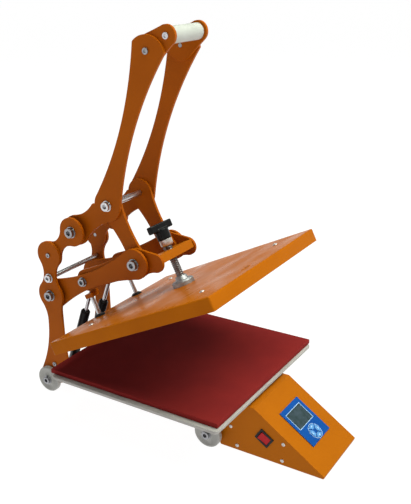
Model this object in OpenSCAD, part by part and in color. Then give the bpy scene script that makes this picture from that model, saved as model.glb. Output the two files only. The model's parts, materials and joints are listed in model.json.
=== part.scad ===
/* [Bed] */
// Width of the lower bed across the press
bed_w = 380; // [320:1:440]
// Depth of the lower bed from front to rear
bed_d = 386; // [340:1:430]
// Height of the pad's top face above the table
bed_top = 127.5; // [124:0.5:140]
// Thickness of the silicone pad
pad_t = 10; // [6:0.5:12]
// Width of the silicone pad
pad_w = 374; // [340:1:380]
// Depth of the silicone pad from front to rear
pad_d = 390; // [360:1:400]
// How far the pad lies to the right of the bed's middle
pad_right = 7; // [0:0.5:8]
// How far the pad lies behind the bed's middle
pad_back = 6.5; // [0:0.5:8]
// Thickness of the pale board under the pad
board_t = 6; // [4:0.5:10]
// Width of each of the two bearers that carry the board
bearer_w = 30; // [20:1:40]
// Length of the bearers across the press
bearer_l = 280; // [200:1:310]
// Height of the bearers
bearer_h = 30; // [24:1:36]

/* [Plates] */
// Thickness of every cut steel plate
plate_t = 6; // [5:0.5:7]
// Washer gap between plates that turn on each other
plate_gap = 0.5; // [0.3:0.1:1]
// Outer face of the uprights from the centre plane
upright_x = 80; // [78:0.5:92]
// Length of the spacers between uprights and arms
arm_space = 6; // [3:0.5:8]
// Length of the spacers between head plates and handle
handle_space = 9.5; // [7:0.5:11]
// Radial gap of a plain bolt in its hole
bolt_gap = 0.1; // [0.05:0.05:0.3]
// Radial gap of a turning or sliding pin in its bore
run_gap = 0.05; // [0.02:0.01:0.08]

/* [Linkage] */
// Distance of the main pivot behind the platen's centre
arm_reach = 283; // [275:1:310]
// Height of the main pivot above the pad
pivot_up = 102.5; // [98:0.5:112]
// Angle through which the platen opens
open_angle = 25.9; // [20:0.1:30]
// Distance from the main pivot to the toggle pivot
arm_len = 242.7; // [235:0.1:255]
// Radius of the arm's lobe at the toggle pivot
arm_lobe_r = 31; // [26:0.5:34]
// Radius of the lobe round the main pivot
main_lobe_r = 33; // [28:0.5:38]
// Handle pivot in front of the main pivot
head_fwd = 68; // [60:1:80]
// Handle pivot above the main pivot
head_up = 150; // [140:1:165]
// Radius of the lobe at the top of each upright
top_lobe_r = 30; // [26:0.5:34]
// Radius of the head plate's lobe
head_lobe_r = 30; // [26:0.5:34]
// Length of the handle's crank, from its pivot to the toggle shaft
crank_len = 105.4; // [100:0.1:110]
// Angle of the crank with the press open, from the rearward level
crank_angle = 143.3; // [140:0.1:148]
// Radius of the main pivot shaft
main_shaft_r = 8; // [6:0.5:10]
// Radius of the toggle shaft between the handle plates
toggle_shaft_r = 6; // [5:0.5:8]
// Radius of the handle's two pivot bolts
pivot_bolt_r = 6; // [5:0.5:8]
// Radius of the tie rod between the uprights
tie_r = 5; // [4:0.5:6]
// Width of the toggle link's lower lobe, as a radius
toggle_lobe_r = 21; // [18:0.5:23]

/* [Handle] */
// Top of the blade in front of the handle pivot
blade_fwd = 194; // [180:0.5:210]
// Top of the blade above the handle pivot
blade_up = 352; // [320:1:380]
// Radius of the blade's two lobes
blade_lobe_r = 31; // [27:0.5:34]
// Radius of the long hollow edges of the blade
blade_edge_r = 700; // [550:10:900]
// Grip axis in front of the blade's top screw
grip_fwd = 39.5; // [34:0.5:48]
// Grip axis above the blade's top screw
grip_up = 26; // [20:0.5:34]
// Outside radius of the grip sleeve
grip_r = 15; // [12:0.5:18]
// Radius of the rod inside the grip
grip_rod_r = 5; // [4:0.5:7]

/* [Upper platen] */
// Overhang of the sheet metal cover at each side of the bed
cover_side = 6.5; // [4:0.5:10]
// Overhang of the sheet metal cover at the front
cover_end = 9; // [6:0.5:12]
// Overhang of the sheet metal cover at the rear
cover_back = 15; // [9:0.5:16]
// Height of the cover's sides
cover_h = 26; // [24:0.5:32]
// Thickness of the cover's sheet
cover_t = 1.5; // [1:0.1:2.5]
// Radius of the cover's bent edges
cover_r = 4; // [3:0.5:8]
// Thickness of the heated aluminium plate
hot_t = 12; // [9:0.5:14]
// How far the heated plate shows below the cover
hot_reveal = 1; // [0.5:0.5:4]
// Gap left between heated plate and pad when closed
press_gap = 0.5; // [0.3:0.1:1]
// Thickness of the insulation on the heated plate
wool_t = 8; // [5:0.5:9]

/* [Pressure screw] */
// Radius of the pressure screw
screw_r = 8; // [6:0.5:9]
// Radius of the round flange on the cover
flange_r = 22.5; // [20:0.5:28]
// Thickness of the flange's disc
flange_h = 11; // [8:0.5:14]
// Height of the cross block between the noses
block_h = 17; // [14:0.5:20]
// Depth of the cross block from front to rear
block_d = 37; // [34:1:40]
// Length of the wing knob's bar
wing_l = 62; // [50:1:70]
// How far the screw can raise the platen
screw_travel = 6; // [4:0.5:8]
// Radius of the guide posts at the rear of the platen
post_r = 4.5; // [3.5:0.5:6]

/* [Gas springs] */
// Distance of each gas spring from the centre plane
gas_x = 30; // [26:0.5:32]
// Outside radius of the cylinder
gas_r = 10; // [8:0.5:11]
// Radius of the piston rod
rod_r = 4; // [3:0.5:5]
// Length of the cylinder above its lower eye
gas_body_l = 139; // [130:1:145]
// Upper pin in front of the main pivot, press closed
gas_fwd = 94.4; // [90:0.1:100]
// Upper pin above the main pivot, press closed
gas_up = 3; // [0:0.5:6]
// Radius of the upper cross pin
gas_pin_r = 5; // [4:0.5:6]

/* [Base] */
// Diameter of the four wheels
wheel_d = 57.2; // [50:0.2:64]
// Width of each wheel
wheel_t = 10; // [7:0.5:12]
// Radius of the wheel bolts
wheel_bolt_r = 5; // [4:0.5:6]
// Height of the side rails
rail_h = 52; // [44:1:56]
// Front wheels behind the bed's front edge
wheel_front = 85; // [84:1:120]
// Rear wheels behind the main pivot
wheel_back = 21; // [16:1:30]

/* [Control box] */
// Width of the control box
box_w = 145; // [140:1:160]
// Reach of the box in front of the bed
box_reach = 152.5; // [140:0.5:165]
// Height of the box's flat top above the table
box_top = 104.5; // [98:0.5:105]
// Height of the box's floor above the table
box_floor = 2.5; // [2:0.5:6]
// Thickness of the box's sheet
box_t = 1.5; // [1:0.1:2]
// Width of the control panel
panel_w = 72; // [68:1:80]
// Length of the control panel down the slope
panel_l = 86; // [84:1:100]
// Panel's centre to the right of the box's centre
panel_x = 2; // [-10:1:16]
// Width of the display
lcd_w = 58; // [50:1:60]
// Height of the display
lcd_l = 42; // [36:1:44]
// Radius of the ring of keys
key_ring_r = 14; // [13:0.5:15]
// Length of the rocker switch's frame
rocker_l = 31; // [28:0.5:34]
// Width of the rocker switch's frame
rocker_w = 25.5; // [22:0.5:28]

/* [Hidden] */
$fn = 72;
arc_fn = 240;

paint = [0.76, 0.42, 0.07];
chrome = [0.75, 0.76, 0.78];
black = [0.06, 0.06, 0.07];

// Places along the press: the origin is the middle of its footprint on the table
rear_end = bed_d / 2 + arm_reach + wheel_back + wheel_d / 2;
bed_front = (box_reach - rear_end) / 2;
bed_mid = bed_front + bed_d / 2;
wheel_r = wheel_d / 2;
board_z = bed_top - pad_t - board_t;

// Plate layers, inner face of each, from the uprights inwards
up_in = upright_x - plate_t;
head_in = up_in - plate_t;
arm_in = up_in - arm_space - plate_t;
handle_in = head_in - handle_space - plate_t;
nose_in = handle_in;
toggle_in = handle_in - plate_gap - plate_t;
bracket_in = handle_in - plate_t;
nut_t = 6;
nut_r = 10;
small_bolt_r = 4;
link_bolt_r = 5;
arm_bolt_r = 6;
spacer_wall = 4;

// Pivots in the side view, as [y, z]
p_main = [bed_mid + arm_reach, bed_top + pivot_up];
p_head = p_main + [-head_fwd, head_up];
p_top = p_main + [-5, 91];
p_tie = p_main + [-1.5, 40];
p_crank = p_head + crank_len * [cos(crank_angle), sin(crank_angle)];
p_arm_shut = p_main + [-arm_len, 1.4];
p_arm = opened(p_arm_shut);
p_gas_shut = p_main + [-gas_fwd, gas_up];
p_gas = opened(p_gas_shut);
p_blade = p_head + [-blade_fwd, blade_up];
p_bracket = p_blade + [-1, 6];
p_grip = p_bracket + [-grip_fwd, grip_up];

// Frame under the bed
rail_top = board_z - bearer_h;
rail_bottom = rail_top - rail_h;
rail_x = head_in;
box_back = bed_front + 66;
rail_rear = p_main[0] + wheel_back + 12;
beam_top = 34;
beam_bottom = 22;
beam_y = p_main[0] - 30;
beam_w = 50;
p_gas_foot = [p_main[0] + 4, beam_top + 12.5];
front_wheel = [bed_front + wheel_front, wheel_r];
rear_wheel = [p_main[0] + wheel_back, wheel_r];
wheel_x = upright_x + 1;

// Upper platen, described with the press closed and level
cover_w = bed_w + 2 * cover_side;
cover_d = bed_d + cover_end + cover_back;
cover_mid = bed_mid + (cover_back - cover_end) / 2;
hot_z = bed_top + press_gap;
cover_z = hot_z + hot_reveal;
cover_top = cover_z + cover_h;
block_z = p_main[1] - 16.5;
block_y = bed_mid - block_d / 2;
collar_z = block_z + block_h + 8;
knob_z = collar_z + 13;
post_y = p_gas_shut[0];
post_x = arm_in;
cover_screw_x = bed_w / 2 - 55;
cover_screw_y = bed_d / 2 - 49;
cover_screw_r = 2.5;
boss_r = 8;
screw_depth = 12;
gas_foot_r = 4;
gas_open = norm(p_gas - p_gas_foot);
gas_lean = atan2(p_gas_foot[0] - p_gas[0], p_gas[1] - p_gas_foot[1]);

// Control box outline, and the slope that carries the panel
toe_y = bed_front - box_reach;
ridge_y = bed_front - 8;
toe_lip = 5;
box_bend_r = 2.6;
floor_lip = 8;
slope_a = atan2(box_top - box_floor - toe_lip, ridge_y - toe_y);
panel_mid = 83;
key_y = -26;
pcb_drop = 12;
rocker_at = [bed_front - 30.6, 48.2];
gland_x = box_w / 2 - 28;
gland_z = 18;
box_screw_r = 2;
screw_spots = [[-68, 12], [-70, 48], [28, 12], [42, 50]];

function opened(p) = p_main + turn(p - p_main, -open_angle);
function turn(v, a) = [v[0] * cos(a) - v[1] * sin(a), v[0] * sin(a) + v[1] * cos(a)];
// Point at given distances from p and q, on the left of the way from p to q
function meet(p, rp, q, rq) =
    let (d = norm(q - p), a = (rp * rp - rq * rq + d * d) / (2 * d), u = (q - p) / d)
    p + a * u + sqrt(rp * rp - a * a) * [-u[1], u[0]];
// Outline of a convex polygon, counter-clockwise, moved in by t
function inset(pts, t) = [for (i = [0 : len(pts) - 1])
    let (
        a = pts[(i + len(pts) - 1) % len(pts)],
        b = pts[i],
        c = pts[(i + 1) % len(pts)],
        u = (b - a) / norm(b - a),
        v = (c - b) / norm(c - b)
    )
    b + t * ([-u[1], u[0]] + [-v[1], v[0]]) / (1 + u * v)];
// Corners of a convex polygon rounded with radius r
function rounded(pts, r, steps = 6) = [for (i = [0 : len(pts) - 1])
    let (
        a = pts[(i + len(pts) - 1) % len(pts)],
        b = pts[i],
        c = pts[(i + 1) % len(pts)],
        u = (b - a) / norm(b - a),
        v = (c - b) / norm(c - b),
        mid = b + r * ([-u[1], u[0]] + [-v[1], v[0]]) / (1 + u * v),
        a0 = atan2(-u[0], u[1]),
        sweep = acos(u * v)
    )
    for (k = [0 : steps]) mid + r * [cos(a0 + sweep * k / steps), sin(a0 + sweep * k / steps)]];

// A plate whose outline is drawn in the side view, [y, z], standing at x
module plate(x, t = plate_t) {
    translate([x, 0, 0]) rotate([90, 0, 90]) linear_extrude(t) children();
}
module both() {
    children();
    mirror([1, 0, 0]) children();
}
module left() {
    mirror([1, 0, 0]) children();
}
module at(p) {
    translate([0, p[0], p[1]]) children();
}
module rod(x0, x1, r) {
    translate([x0, 0, 0]) rotate([0, 90, 0]) cylinder(h = x1 - x0, r = r);
}
module lobe(p, r) {
    translate(p) circle(r);
}
// Hollow-edged web on the left of the way from p to q, tangent to both lobes
module web(p, rp, q, rq, edge_r) {
    c = meet(p, rp + edge_r, q, rq + edge_r);
    difference() {
        polygon([p, q, c]);
        translate(c) circle(edge_r, $fn = arc_fn);
    }
}
module bone(p, rp, q, rq, edge_r) {
    lobe(p, rp);
    lobe(q, rq);
    web(p, rp, q, rq, edge_r);
    web(q, rq, p, rp, edge_r);
}
// Socket cap head on a washer, seated on the plane x, facing outwards
module cap_head(x, r, h = 9) {
    difference() {
        union() {
            rod(x, x + 1.5, r + 2);
            rod(x, x + h, r);
        }
        translate([x + h - 5, 0, 0]) rotate([0, 90, 0]) cylinder(h = 6, r = r * 0.55, $fn = 6);
    }
}
module small_head(x, r = 4, h = 3) {
    difference() {
        rod(x, x + h, r);
        translate([x + h - 1.5, 0, 0]) rotate([0, 90, 0]) cylinder(h = 2, r = r * 0.5, $fn = 6);
    }
}
module hex_nut(x0, x1, r) {
    translate([x0, 0, 0]) rotate([0, 90, 0]) cylinder(h = x1 - x0, r = r, $fn = 6);
}
// Everything on the arm is described closed and level, then swung open
module swung() {
    at(p_main) rotate([-open_angle, 0, 0]) at(-p_main) children();
}

// Side rails of the base, with ears for the wheel bolts
module rail_outline() {
    ear_r = 14;
    difference() {
        union() {
            translate([box_back, rail_bottom]) square([rail_rear - box_back, rail_h]);
            translate([front_wheel[0] - ear_r, wheel_r]) square([2 * ear_r, rail_bottom - wheel_r + 1]);
            lobe(front_wheel, ear_r);
            translate([beam_y - 6, beam_bottom - 2])
                square([rail_rear - beam_y + 6, rail_bottom - beam_bottom + 3]);
        }
        lobe(front_wheel, wheel_bolt_r + bolt_gap);
        lobe(rear_wheel, wheel_bolt_r + bolt_gap);
        for (p = foot_bolts()) lobe(p, small_bolt_r + bolt_gap);
    }
}
function foot_bolts() = [
    [p_main[0] + 7, rail_top - 16],
    [p_main[0] - 20, rail_top - 40]
];
module side_rails() {
    color(paint) both() plate(rail_x) rail_outline();
}

// Front channel, rear beam and the two bed bearers
module channel(y, z, w, h, half, t = 3) {
    translate([-half, 0, 0]) rotate([90, 0, 90]) linear_extrude(2 * half) difference() {
        translate([y, z]) square([w, h]);
        translate([y + t, z - 1]) square([w - 2 * t, h - t + 1]);
    }
}
module cross_members() {
    front_w = 34;
    bearer_in = 95;
    color([0.16, 0.16, 0.17]) {
        channel(box_back, rail_bottom + 4, front_w, rail_h - 8, rail_x);
        channel(beam_y, beam_bottom, beam_w, beam_top - beam_bottom, rail_x);
        for (y = [bed_front + bearer_in, bed_front + bed_d - bearer_in])
            channel(y - bearer_w / 2, rail_top, bearer_w, board_z - rail_top, bearer_l / 2);
    }
}

// Uprights: two lobes, a waisted leg and a foot that flares to front and rear
module upright_outline() {
    lead = 26.5;
    trail = 13.5;
    front = p_main[0] - lead;
    rear = p_main[0] + trail;
    foot_rear = p_main[0] + 48;
    foot_front = front - 34;
    foot_z = 18;
    toe_z = 40;
    fillet = 60;
    z_rear = p_main[1] - sqrt(pow(main_lobe_r + fillet, 2) - pow(trail + fillet, 2));
    z_front = p_main[1] - sqrt(pow(main_lobe_r + fillet, 2) - pow(lead + fillet, 2));
    flare_rear = 260;
    flare_front = 300;
    flare_z = 140;
    difference() {
        union() {
            bone(p_main, main_lobe_r, p_top, top_lobe_r, 43);
            difference() {
                polygon([
                    p_main, [front - fillet, z_front], [front, z_front], [front, flare_z],
                    [foot_front, flare_z], [foot_front, toe_z], [rear_wheel[0] - 14, foot_z], [foot_rear, foot_z],
                    [foot_rear, z_rear], [rear + fillet, z_rear]
                ]);
                translate([front - fillet, z_front]) circle(fillet, $fn = arc_fn);
                translate([rear + fillet, z_rear]) circle(fillet, $fn = arc_fn);
                intersection() {
                    translate([rear + flare_rear, z_rear]) circle(flare_rear, $fn = arc_fn);
                    translate([rear - 1, 0]) square([flare_rear, z_rear]);
                }
                intersection() {
                    translate([front - flare_front, flare_z]) circle(flare_front, $fn = arc_fn);
                    translate([front + 1 - flare_front, 0]) square([flare_front, flare_z]);
                }
            }
        }
        lobe(p_main, main_shaft_r + bolt_gap);
        lobe(p_top, small_bolt_r + bolt_gap);
        lobe(p_tie, tie_r + bolt_gap);
        lobe(rear_wheel, wheel_bolt_r + bolt_gap);
        for (p = foot_bolts()) lobe(p, small_bolt_r + bolt_gap);
    }
}
module left_upright() {
    color(paint) left() plate(up_in) upright_outline();
}
module right_upright() {
    color(paint) plate(up_in) upright_outline();
}

// Head plates reach forward from the uprights and carry the handle
module head_outline() {
    neck_edge_r = 34;
    difference() {
        bone(p_head, head_lobe_r, p_top, top_lobe_r - 2, neck_edge_r);
        lobe(p_head, pivot_bolt_r + bolt_gap);
        lobe(p_top, small_bolt_r + bolt_gap);
    }
}
module head_plates() {
    color(paint) both() plate(head_in) head_outline();
}
module tie_rod() {
    color(chrome) at(p_tie) {
        rod(-upright_x, upright_x, tie_r);
        both() cap_head(upright_x, 8, 7);
    }
}
// Screws that hold the head plates and the feet of the uprights
module frame_bolts() {
    color(chrome) both() {
        at(p_top) {
            rod(head_in, upright_x, small_bolt_r);
            small_head(upright_x, 5, 2.5);
        }
        for (p = foot_bolts()) at(p) {
            rod(rail_x, upright_x, small_bolt_r);
            small_head(upright_x, 5, 2.5);
        }
    }
}
module arm_shaft() {
    color(chrome) at(p_main) {
        rod(-upright_x, upright_x, main_shaft_r);
        both() {
            rod(arm_in + plate_t + plate_gap, up_in, main_shaft_r + spacer_wall);
            cap_head(upright_x, 10);
        }
    }
}
module handle_pivots() {
    color(chrome) both() at(p_head) {
        rod(handle_in - plate_gap - nut_t, up_in, pivot_bolt_r);
        rod(handle_in + plate_t + plate_gap, head_in, pivot_bolt_r + spacer_wall);
        cap_head(up_in, 10);
        hex_nut(handle_in - plate_gap - nut_t, handle_in - plate_gap, nut_r);
    }
}

module bed_board() {
    corner_r = 8;
    color([0.72, 0.71, 0.68]) translate([0, bed_mid, board_z]) linear_extrude(board_t) {
        square([bed_w, bed_d - 2 * corner_r], center = true);
        square([bed_w - 2 * corner_r, bed_d], center = true);
        for (x = [-1, 1], y = [-1, 1])
            translate([x * (bed_w / 2 - corner_r), y * (bed_d / 2 - corner_r)]) circle(corner_r);
    }
}
module silicone_pad() {
    color([0.5, 0.14, 0.15]) translate([pad_right, bed_mid + pad_back, board_z + board_t])
        translate([-pad_w / 2, -pad_d / 2, 0]) cube([pad_w, pad_d, pad_t]);
}

// Forks on the rear beam for the lower eyes of the gas springs
module gas_bracket() {
    ear_t = 4;
    eye_half = 6;
    gap = 0.5;
    ear_r = 10;
    color([0.16, 0.16, 0.17]) both() {
        for (x = [gas_x - eye_half - gap - ear_t, gas_x + eye_half + gap]) plate(x, ear_t) {
            lobe(p_gas_foot, ear_r);
            translate([p_gas_foot[0] - ear_r, beam_top]) square([2 * ear_r, p_gas_foot[1] - beam_top]);
        }
        at(p_gas_foot) rod(gas_x - eye_half - gap - ear_t - 2, gas_x + eye_half + gap + ear_t + 2, gas_foot_r);
    }
}

// Wheels and the shouldered bolts they turn on
module wheel(p) {
    at(p) translate([wheel_x, 0, 0]) rotate([0, 90, 0]) rotate_extrude() difference() {
        polygon([
            [wheel_bolt_r + run_gap, 0], [wheel_r - 1, 0], [wheel_r, 1], [wheel_r, wheel_t - 1.5],
            [wheel_r - 1.5, wheel_t], [wheel_r - 5, wheel_t], [wheel_r - 6, wheel_t - 0.8],
            [12, wheel_t - 0.8], [11, wheel_t], [wheel_bolt_r + run_gap, wheel_t]
        ]);
    }
}
module front_left_wheel() {
    color([0.65, 0.65, 0.62]) left() wheel(front_wheel);
}
module front_right_wheel() {
    color([0.65, 0.65, 0.62]) wheel(front_wheel);
}
module rear_left_wheel() {
    color([0.65, 0.65, 0.62]) left() wheel(rear_wheel);
}
module rear_right_wheel() {
    color([0.65, 0.65, 0.62]) wheel(rear_wheel);
}
module wheel_bolts() {
    head_x = wheel_x + wheel_t + 0.4;
    color(chrome) both() for (p = [front_wheel, rear_wheel]) at(p) {
        rod(rail_x, head_x, wheel_bolt_r);
        cap_head(head_x, 8, 7);
        if (p == front_wheel) rod(up_in, wheel_x - 0.4, 9);
        else rod(upright_x, wheel_x - 0.4, 9);
    }
}

// Handle plates: a long hollow-edged blade with a crank at its foot
module handle_outline() {
    rear_mid = meet(p_blade, blade_lobe_r + blade_edge_r, p_crank, blade_lobe_r + blade_edge_r);
    front_mid = meet(p_crank, blade_lobe_r + blade_edge_r, p_blade, blade_lobe_r + blade_edge_r);
    end_r = blade_lobe_r + 9;
    heel_r = 75;
    crank_edge_r = 120;
    heel = meet(p_head, head_lobe_r + 1 + heel_r, rear_mid, blade_edge_r - heel_r);
    join = rear_mid + blade_edge_r * (heel - rear_mid) / norm(heel - rear_mid);
    difference() {
        union() {
            bone(p_blade, blade_lobe_r, p_crank, blade_lobe_r, blade_edge_r);
            lobe(p_head, head_lobe_r + 1);
            difference() {
                lobe(p_blade + [-0.5, -6.2], end_r);
                for (c = [front_mid, rear_mid]) translate(c) circle(blade_edge_r, $fn = arc_fn);
            }
            web(p_head, head_lobe_r + 1, p_crank, blade_lobe_r, crank_edge_r);
            difference() {
                polygon([p_crank, p_head, heel, join]);
                translate(heel) circle(heel_r, $fn = arc_fn);
            }
        }
        lobe(p_head, pivot_bolt_r + run_gap);
        lobe(p_crank, toggle_shaft_r + bolt_gap);
        lobe(p_bracket, small_bolt_r + bolt_gap);
    }
}
module left_handle() {
    color(paint) left() plate(handle_in) handle_outline();
}
module right_handle() {
    color(paint) plate(handle_in) handle_outline();
}
module grip_brackets() {
    root_r = 28;
    end_r = 19;
    edge_r = 900;
    color(paint) both() plate(bracket_in) difference() {
        bone(p_bracket, root_r, p_grip, end_r, edge_r);
        lobe(p_bracket, small_bolt_r + bolt_gap);
        lobe(p_grip, grip_rod_r + bolt_gap);
    }
}
module grip_rod() {
    color(chrome) at(p_grip) {
        rod(-handle_in, handle_in, grip_rod_r);
        both() small_head(handle_in, grip_rod_r + 1);
    }
}
module handle_screws() {
    color(chrome) both() at(p_bracket) {
        rod(bracket_in, handle_in + plate_t, small_bolt_r);
        small_head(handle_in + plate_t, 6);
    }
}
module toggle_shaft() {
    color(chrome) at(p_crank) {
        rod(-handle_in - plate_t, handle_in + plate_t, toggle_shaft_r);
        both() cap_head(handle_in + plate_t, 9, 8);
    }
}
module grip_sleeve() {
    half = bracket_in - 0.5;
    color([0.86, 0.87, 0.83]) at(p_grip) translate([-half, 0, 0]) rotate([0, 90, 0]) rotate_extrude() polygon([
        [grip_rod_r + run_gap, 0], [grip_r - 2, 0], [grip_r, 2], [grip_r, 2 * half - 2], [grip_r - 2, 2 * half],
        [grip_rod_r + run_gap, 2 * half]
    ]);
}

// Toggle links from the crank down to the arm
module toggle_outline() {
    toggle_edge_r = 250;
    difference() {
        bone(p_crank, blade_lobe_r - 2, p_arm, toggle_lobe_r, toggle_edge_r);
        lobe(p_crank, toggle_shaft_r + run_gap);
        lobe(p_arm, link_bolt_r + bolt_gap);
    }
}
module left_toggle_link() {
    color(paint) left() plate(toggle_in) toggle_outline();
}
module right_toggle_link() {
    color(paint) plate(toggle_in) toggle_outline();
}
module toggle_nuts() {
    color(chrome) both() at(p_arm) {
        rod(toggle_in, toggle_in + plate_t, link_bolt_r);
        hex_nut(toggle_in - nut_t, toggle_in, nut_r);
    }
}

// Platen arms, with the nose plates inside them
module arm_outline() {
    arm_edge_r = 440;
    difference() {
        bone(p_main, main_lobe_r - 1, p_arm_shut, arm_lobe_r, arm_edge_r);
        lobe(p_main, main_shaft_r + run_gap);
        lobe(p_gas_shut, gas_pin_r + bolt_gap);
        lobe(p_arm_shut, arm_bolt_r + bolt_gap);
    }
}
module left_arm() {
    color(paint) swung() left() plate(arm_in) arm_outline();
}
module right_arm() {
    color(paint) swung() plate(arm_in) arm_outline();
}
module nose_outline() {
    tail_r = 23;
    tail_edge_r = 560;
    top_edge_r = 45;
    low_edge_r = 1500;
    tip_r = block_h / 2 + 10.3;
    tip = [block_y - 2.5 + tip_r, block_z + block_h / 2 - 3.2];
    difference() {
        union() {
            bone(p_gas_shut, tail_r, p_arm_shut, arm_lobe_r - 1, tail_edge_r);
            lobe(tip, tip_r);
            web(p_arm_shut, arm_lobe_r - 1, tip, tip_r, top_edge_r);
            web(tip, tip_r, p_arm_shut, arm_lobe_r - 1, low_edge_r);
        }
        lobe(p_gas_shut, gas_pin_r + bolt_gap);
        lobe(p_arm_shut, arm_bolt_r + bolt_gap);
    }
}
module nose_plates() {
    color(paint) swung() both() plate(nose_in) nose_outline();
}
// Steel block between the noses, cut back at its ends to clear the toggle links
module cross_block() {
    inner = toggle_in - nut_t - 1.5;
    ear_d = 20;
    color(paint) swung() translate([0, block_y, block_z]) linear_extrude(block_h) difference() {
        polygon([
            [-nose_in, 0], [nose_in, 0], [nose_in, ear_d], [inner, ear_d], [inner, block_d],
            [-inner, block_d], [-inner, ear_d], [-nose_in, ear_d]
        ]);
        translate([0, bed_mid - block_y]) circle(screw_r + run_gap);
    }
}
module gas_pin() {
    color(chrome) swung() at(p_gas_shut) {
        rod(-arm_in - plate_t, arm_in + plate_t, gas_pin_r);
        both() {
            rod(nose_in + plate_t, arm_in, gas_pin_r + spacer_wall);
            cap_head(arm_in + plate_t, 8, 7);
        }
    }
}
module arm_bolts() {
    color(chrome) swung() both() at(p_arm_shut) {
        rod(nose_in, arm_in + plate_t, arm_bolt_r);
        rod(nose_in + plate_t, arm_in, arm_bolt_r + spacer_wall);
        cap_head(arm_in + plate_t, 10);
    }
}
// Posts that keep the platen square to the arm, on brackets held by the gas pin
module guide_posts() {
    leg_t = 6;
    foot_z = p_gas_shut[1] - 36;
    foot_t = 9;
    post_z = hot_z + hot_t + screw_travel + 1;
    color(chrome) swung() both() {
        plate(nose_in - leg_t, leg_t) difference() {
            translate([post_y - 10, foot_z]) square([20, p_gas_shut[1] - foot_z + 12]);
            lobe(p_gas_shut, gas_pin_r + bolt_gap);
        }
        translate([nose_in - leg_t, post_y - 10, foot_z]) cube([post_x + 8 - nose_in + leg_t, 20, foot_t]);
        translate([post_x, post_y, post_z]) cylinder(h = foot_z - post_z + 2, r = post_r);
    }
}

// Sheet metal cover of the upper platen, open underneath
module soft_box(w, d, h, r) {
    intersection() {
        translate([-w / 2, -d / 2, 0]) linear_extrude(h) polygon(rounded([[0, 0], [w, 0], [w, d], [0, d]], r));
        translate([-w / 2 - 1, 0, 0]) rotate([90, 0, 90]) linear_extrude(w + 2)
            polygon(arched(d, h, r));
        translate([0, d / 2 + 1, 0]) rotate([90, 0, 0]) linear_extrude(d + 2) polygon(arched(w, h, r));
    }
}
function arched(w, h, r, steps = 6) = concat(
    [[-w / 2, 0], [w / 2, 0]],
    [for (k = [0 : steps]) [w / 2 - r + r * cos(90 * k / steps), h - r + r * sin(90 * k / steps)]],
    [for (k = [0 : steps]) [-w / 2 + r - r * sin(90 * k / steps), h - r + r * cos(90 * k / steps)]]
);
module heater_cover() {
    color(paint) swung() translate([0, cover_mid, cover_z]) difference() {
        soft_box(cover_w, cover_d, cover_h, cover_r);
        translate([0, 0, -1])
            soft_box(cover_w - 2 * cover_t, cover_d - 2 * cover_t, cover_h - cover_t + 1, cover_r - cover_t);
        both() translate([post_x, post_y - cover_mid, cover_h - 5]) cylinder(h = 10, r = post_r + 4);
        translate([0, -cover_mid, -cover_z]) at_cover_screws() translate([0, 0, cover_top - 5])
            cylinder(h = 10, r = cover_screw_r + bolt_gap);
    }
}
module at_cover_screws() {
    for (x = [-1, 1], y = [-1, 1]) translate([x * cover_screw_x, bed_mid + y * cover_screw_y, 0]) children();
}
module heating_plate() {
    boss_h = cover_top - cover_t - hot_z - hot_t;
    color([0.7, 0.71, 0.72]) swung() difference() {
        union() {
            translate([-bed_w / 2, bed_front, hot_z]) cube([bed_w, bed_d, hot_t]);
            at_cover_screws() translate([0, 0, hot_z + hot_t - 1]) cylinder(h = boss_h + 1, r = boss_r);
        }
        at_cover_screws() translate([0, 0, cover_top - screw_depth])
            cylinder(h = screw_depth, r = cover_screw_r + bolt_gap);
    }
}
module insulation_mat() {
    edge = 24;
    color([0.9, 0.88, 0.8]) swung() difference() {
        translate([-bed_w / 2 + edge, bed_front + edge, hot_z + hot_t])
            cube([bed_w - 2 * edge, bed_d - 2 * edge, wool_t]);
        at_cover_screws() translate([0, 0, hot_z + hot_t - 1]) cylinder(h = wool_t + 2, r = boss_r + 0.5);
    }
}
module screw_flange() {
    neck_h = 8;
    color(chrome) swung() translate([0, bed_mid, cover_top]) rotate_extrude() polygon([
        [0, 0], [flange_r, 0], [flange_r, flange_h - 3], [flange_r - 3, flange_h], [screw_r + 6, flange_h],
        [screw_r + 3, flange_h + neck_h], [screw_r + run_gap, flange_h + neck_h], [screw_r + run_gap, 5], [0, 5]
    ]);
}
module guide_bushes() {
    color(black) swung() both() translate([post_x, post_y, cover_top - cover_t]) rotate_extrude() polygon([
        [post_r + run_gap, -3], [post_r + 3.8, -3], [post_r + 3.8, cover_t], [post_r + 7, cover_t],
        [post_r + 7, cover_t + 2], [post_r + 3, cover_t + 5], [post_r + run_gap, cover_t + 5]
    ]);
}
module cover_screws() {
    color(chrome) swung() at_cover_screws() translate([0, 0, cover_top]) rotate_extrude() polygon([
        [0, 1 - screw_depth], [cover_screw_r, 1 - screw_depth], [cover_screw_r, 0], [2 * cover_screw_r, 0],
        [4.5, 1.6], [3, 2.6], [0, 2.8]
    ]);
}

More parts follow.
